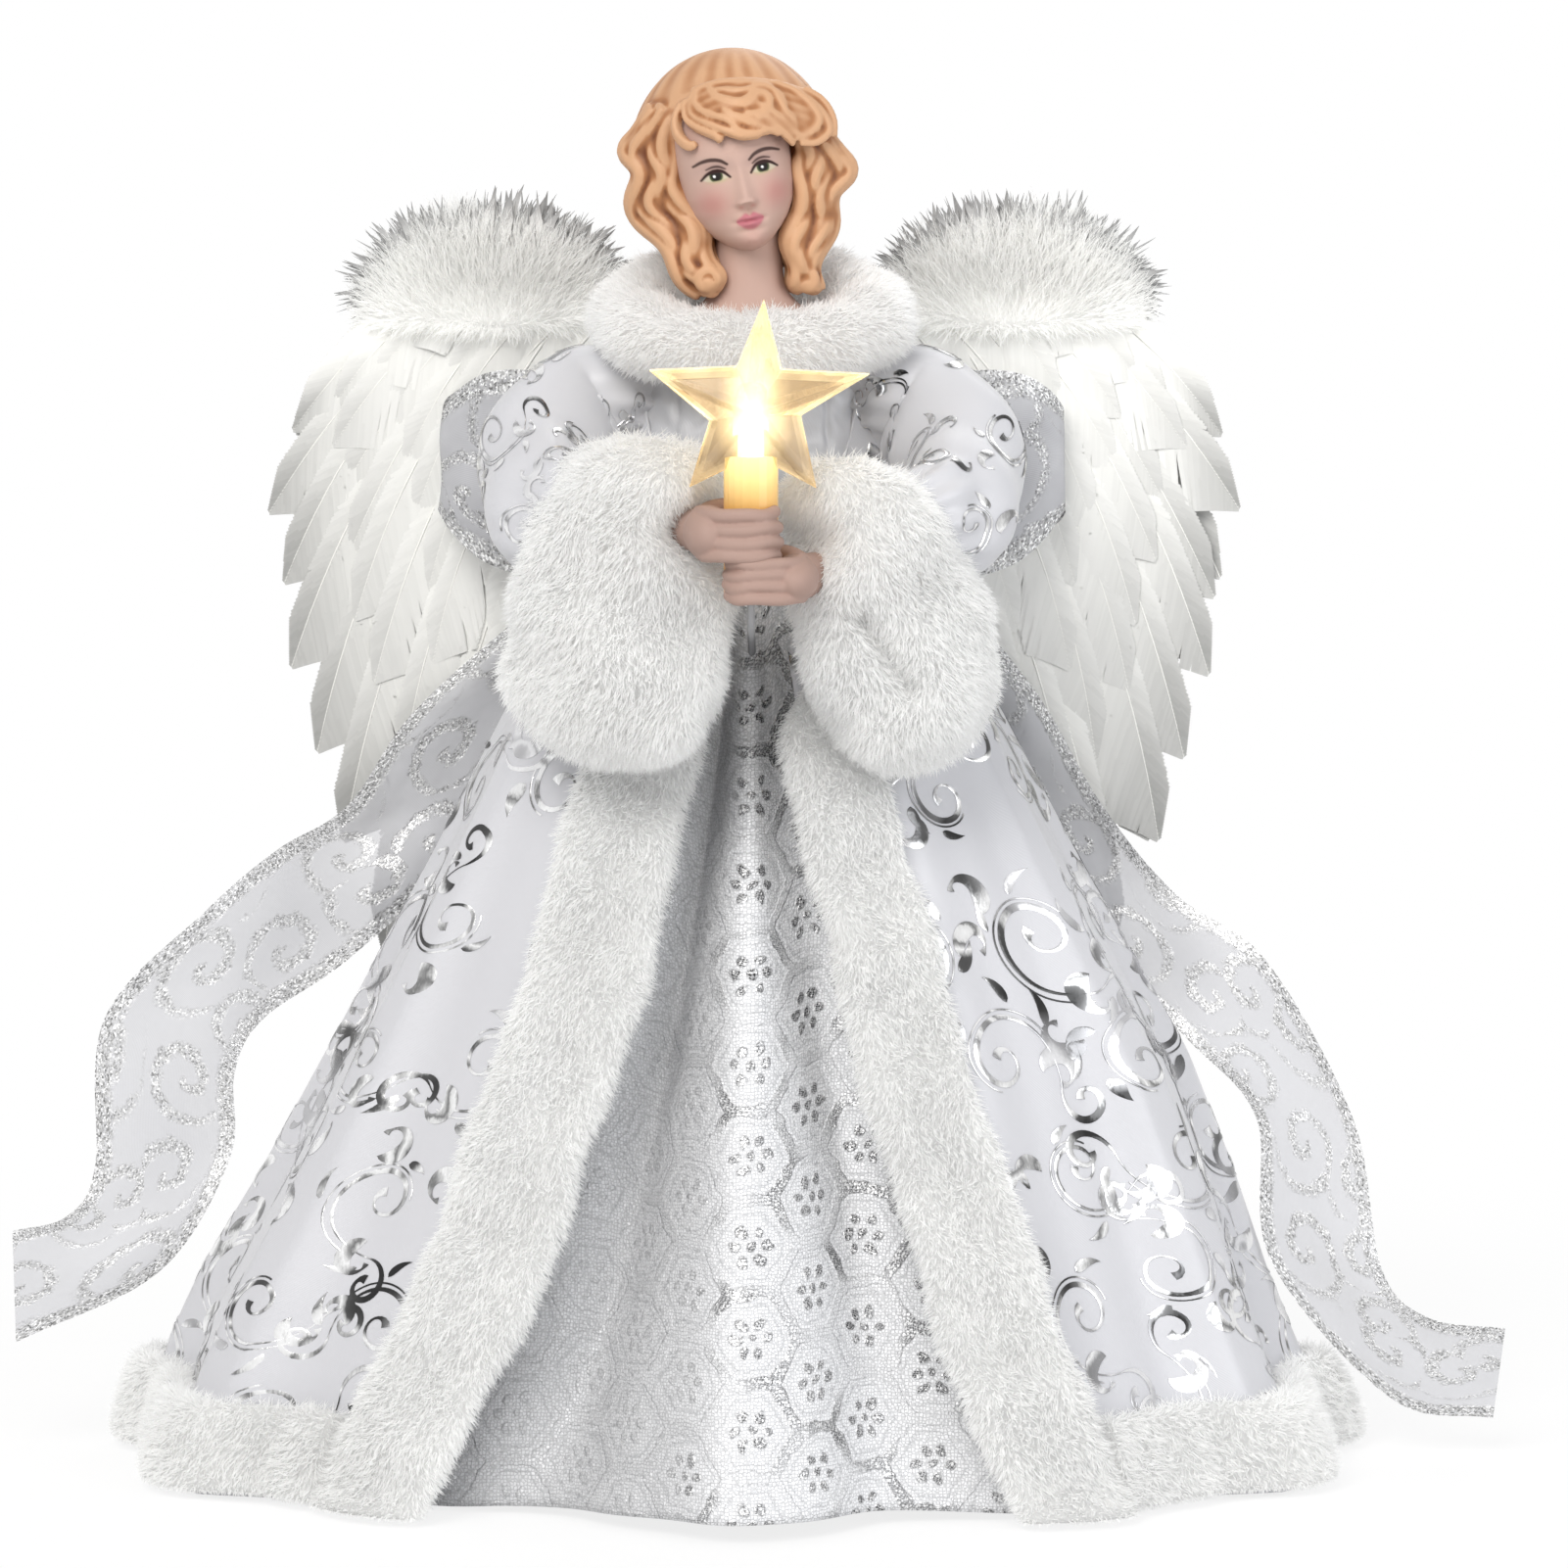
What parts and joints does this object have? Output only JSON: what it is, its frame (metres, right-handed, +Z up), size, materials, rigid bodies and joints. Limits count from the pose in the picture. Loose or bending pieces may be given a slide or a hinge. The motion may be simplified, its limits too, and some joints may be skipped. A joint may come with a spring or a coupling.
{
  "type": "angel tree topper",
  "caption": "Angel figure on a cone for the top of a tree, in a fur-trimmed coat and brocade gown, with feather wings, a ribbon bow and a battery-lit star",
  "frame": {"origin": "on the ground, under the middle of the cone", "axes": "+Z up, -Y the way the figure faces, +X the figure's left"},
  "size_m": [0.322, 0.1905, 0.305],
  "materials": {
    "card": "pale card",
    "foam": "foam",
    "dowel_wood": "plain wood",
    "painted_resin": "matt painted",
    "printed_satin": "satin with silver foil scrolls",
    "lace_brocade": "silver and white brocade",
    "white_fur": "long pile fur",
    "organza": "sheer with glitter",
    "feather": "white feather",
    "steel_wire": "drawn wire",
    "white_plastic": "moulded",
    "black_plastic": "moulded",
    "clear_plastic": "clear faceted",
    "amber_plastic": "translucent",
    "lit_bulb": "lit",
    "lead_jacket": "smooth jacket",
    "cell_jacket": "plain jacket",
    "contact_brass": "plain"
  },
  "bodies": {
    "figure": {"cone_core": "card", "torso_form": "foam", "neck_dowel": "dowel_wood", "bust_head": "painted_resin", "gown_bodice": "printed_satin", "gown_skirt": "lace_brocade", "waist_band": "lace_brocade", "fur_collar": "white_fur", "right_hand": "painted_resin", "left_hand": "painted_resin", "right_arm_wire": "steel_wire", "left_arm_wire": "steel_wire", "right_sleeve": "printed_satin", "left_sleeve": "printed_satin", "right_cuff": "white_fur", "left_cuff": "white_fur", "coat_right_panel": "printed_satin", "coat_left_panel": "printed_satin", "right_front_trim": "white_fur", "left_front_trim": "white_fur", "right_hem_trim": "white_fur", "left_hem_trim": "white_fur", "bow_knot": "organza", "right_bow_loop": "organza", "left_bow_loop": "organza", "right_bow_tail": "organza", "left_bow_tail": "organza", "wing_bracket": "white_plastic", "candle_tube": "amber_plastic", "led_bulb": "lit_bulb", "led_lead": "lead_jacket", "battery_case": "white_plastic", "battery_1": "cell_jacket", "battery_2": "cell_jacket", "contact_tab_1": "contact_brass", "contact_tab_2": "contact_brass"},
    "right_wing": {"right_wing_board": "card", "right_wing_feather_row_1": "feather", "right_wing_feather_row_2": "feather", "right_wing_feather_row_3": "feather", "right_wing_back_feather_row": "feather", "right_wing_marabou": "feather"},
    "left_wing": {"left_wing_board": "card", "left_wing_feather_row_1": "feather", "left_wing_feather_row_2": "feather", "left_wing_feather_row_3": "feather", "left_wing_back_feather_row": "feather", "left_wing_marabou": "feather"},
    "star": {"star_cover": "clear_plastic"},
    "battery_cover": {"battery_door": "white_plastic", "door_contact": "contact_brass"},
    "switch": {"switch_slider": "black_plastic"}
  },
  "joints": [
    {"name": "star_pull", "type": "slide", "parent": "figure", "child": "star", "axis": [0, 0, 1], "range_m": [0, 0.02]},
    {"name": "right_wing_fold", "type": "hinge", "parent": "figure", "child": "right_wing", "pos_m": [-0.016, 0.038, 0.221], "axis": [0, 0, -1], "range_deg": [0, 35]},
    {"name": "left_wing_fold", "type": "hinge", "parent": "figure", "child": "left_wing", "pos_m": [0.016, 0.038, 0.221], "axis": [0, 0, 1], "range_deg": [0, 35]},
    {"name": "battery_door_slide", "type": "slide", "parent": "figure", "child": "battery_cover", "axis": [1, 0, 0], "range_m": [0, 0.024]},
    {"name": "switch_slide", "type": "slide", "parent": "figure", "child": "switch", "axis": [1, 0, 0], "range_m": [0, 0.0044]}
  ]
}
